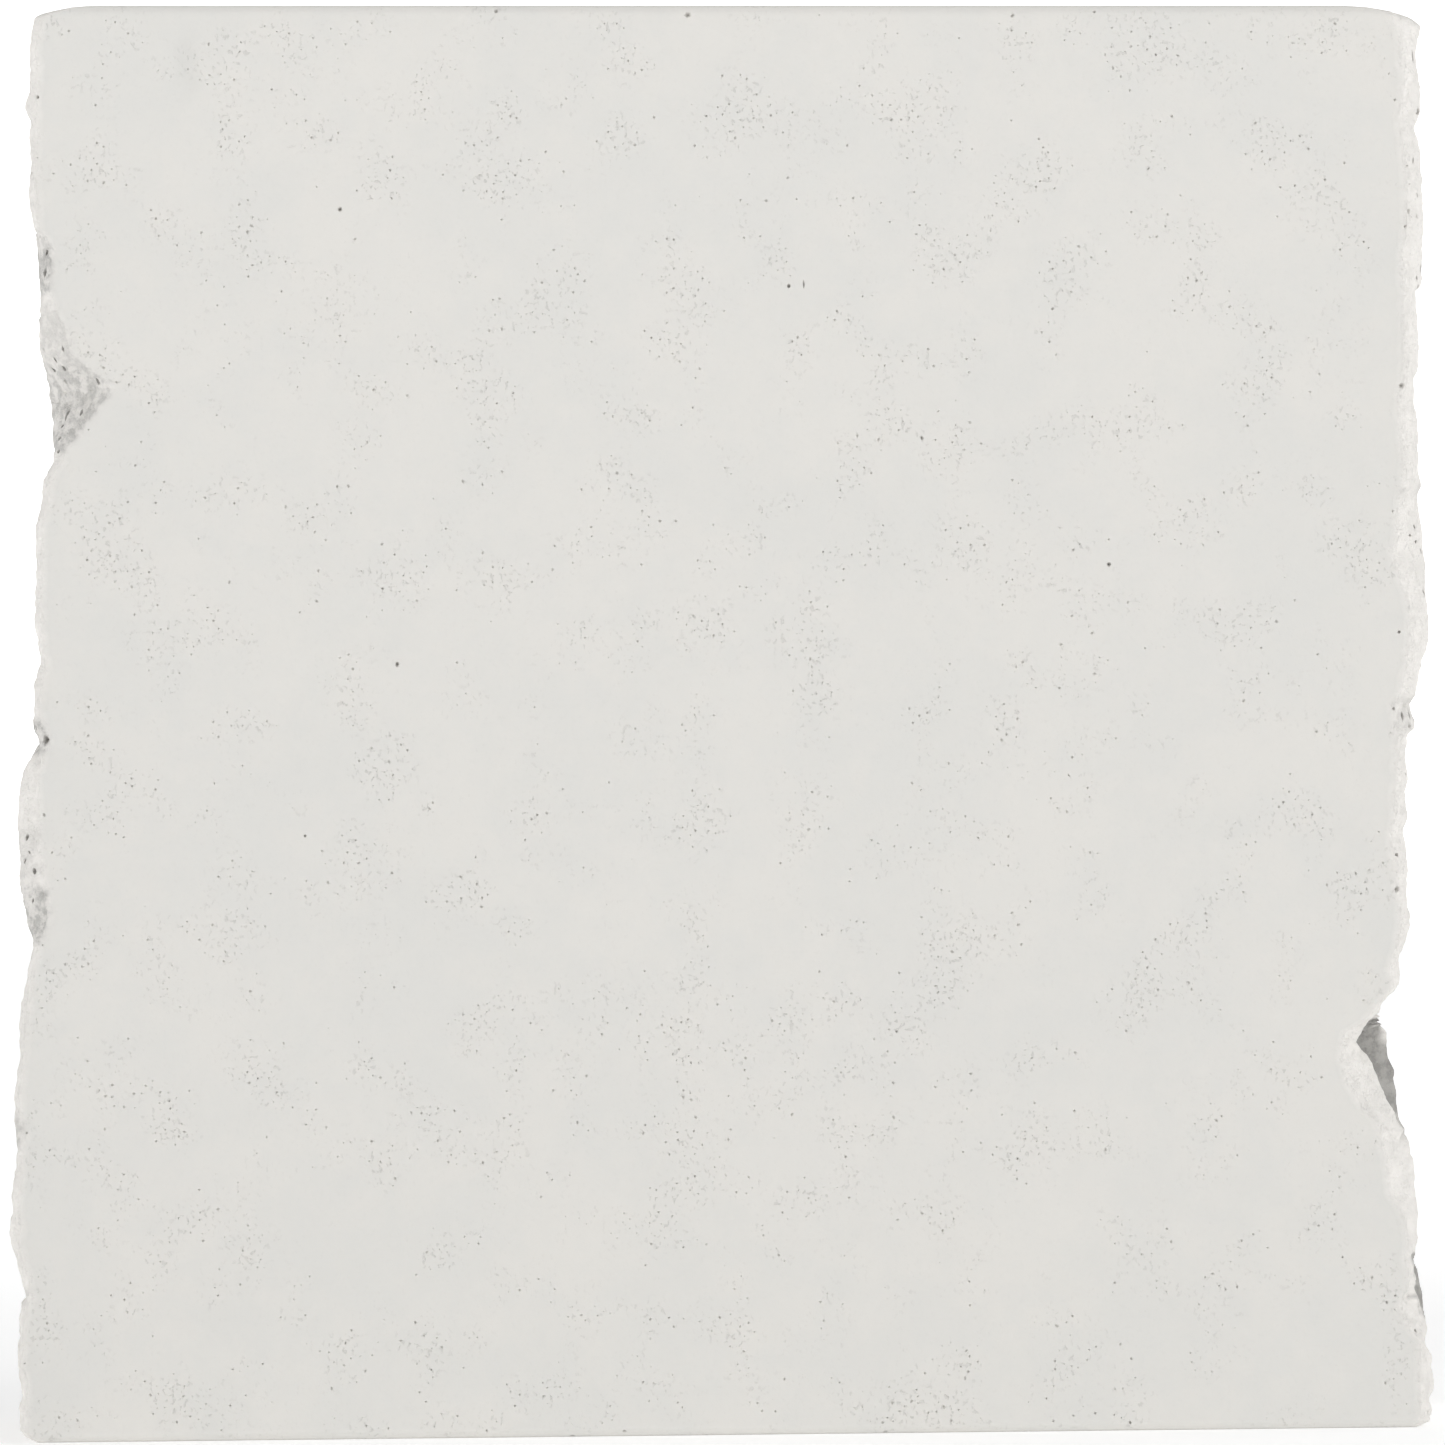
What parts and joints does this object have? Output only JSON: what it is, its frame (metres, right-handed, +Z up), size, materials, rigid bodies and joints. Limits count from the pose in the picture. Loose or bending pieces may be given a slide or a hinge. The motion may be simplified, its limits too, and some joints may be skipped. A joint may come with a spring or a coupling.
{
  "type": "gymnastics chalk block",
  "caption": "Dry block of white magnesium carbonate with flat cast faces and two rough, snapped sides, rubbed on the hands for grip.",
  "frame": {"origin": "middle of the base, on the surface that the block stands on", "axes": "+Z up, +X to the right across the two broken sides, +Y from the front face to the back face"},
  "size_m": [0.0578, 0.032, 0.0581],
  "materials": {
    "magnesium_carbonate": "matte, dry and finely porous"
  },
  "bodies": {
    "root": {"chalk_block": "magnesium_carbonate"}
  },
  "joints": []
}
